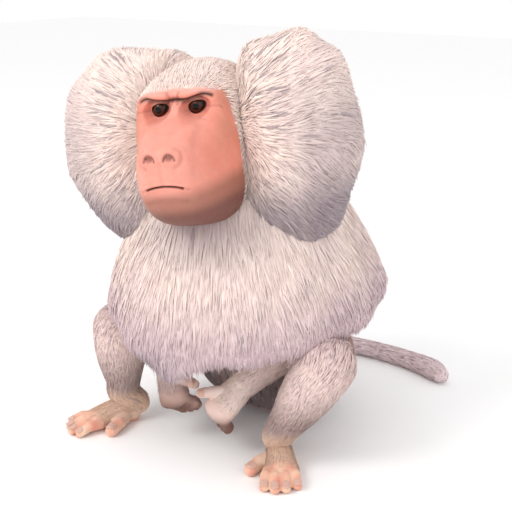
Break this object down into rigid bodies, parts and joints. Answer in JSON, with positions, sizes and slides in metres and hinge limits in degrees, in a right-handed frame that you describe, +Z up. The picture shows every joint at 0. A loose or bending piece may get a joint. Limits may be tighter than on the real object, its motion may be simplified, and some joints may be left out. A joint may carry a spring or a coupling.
{
  "type": "hamadryas baboon",
  "caption": "Adult male baboon sitting with its knees apart and its hands hanging between them, with a broad pale cheek mane and cape, a bare pink face and a tail curled on the ground.",
  "frame": {"origin": "centre of the flat underside of the seat pad, at floor level", "axes": "+Z up, -Y the way the body faces, +X the animal's own left"},
  "size_m": [0.4043, 0.5499, 0.5568],
  "materials": {
    "face_skin": "bare pink skin, satin",
    "eye": "wet dark brown eye",
    "long_coat": "long soft near-white fur",
    "short_coat": "short close fur, pinkish grey",
    "seat_skin": "bare callused skin, pink",
    "hand_skin": "thinly haired skin, tan to pink"
  },
  "bodies": {
    "root": {"head": "face_skin", "jaw": "face_skin", "eye_left": "eye", "eye_right": "eye", "ruff_left": "long_coat", "ruff_right": "long_coat", "nape": "long_coat", "mantle": "long_coat", "rump": "short_coat", "seat_pad": "seat_skin", "tail_root": "short_coat", "tail_middle": "short_coat", "tail_tuft": "short_coat", "thigh_left": "short_coat", "thigh_right": "short_coat", "shank_left": "short_coat", "shank_right": "short_coat", "foot_left": "hand_skin", "foot_right": "hand_skin", "forearm_left": "short_coat", "forearm_right": "short_coat", "hand_left": "hand_skin", "hand_right": "hand_skin"}
  },
  "joints": []
}
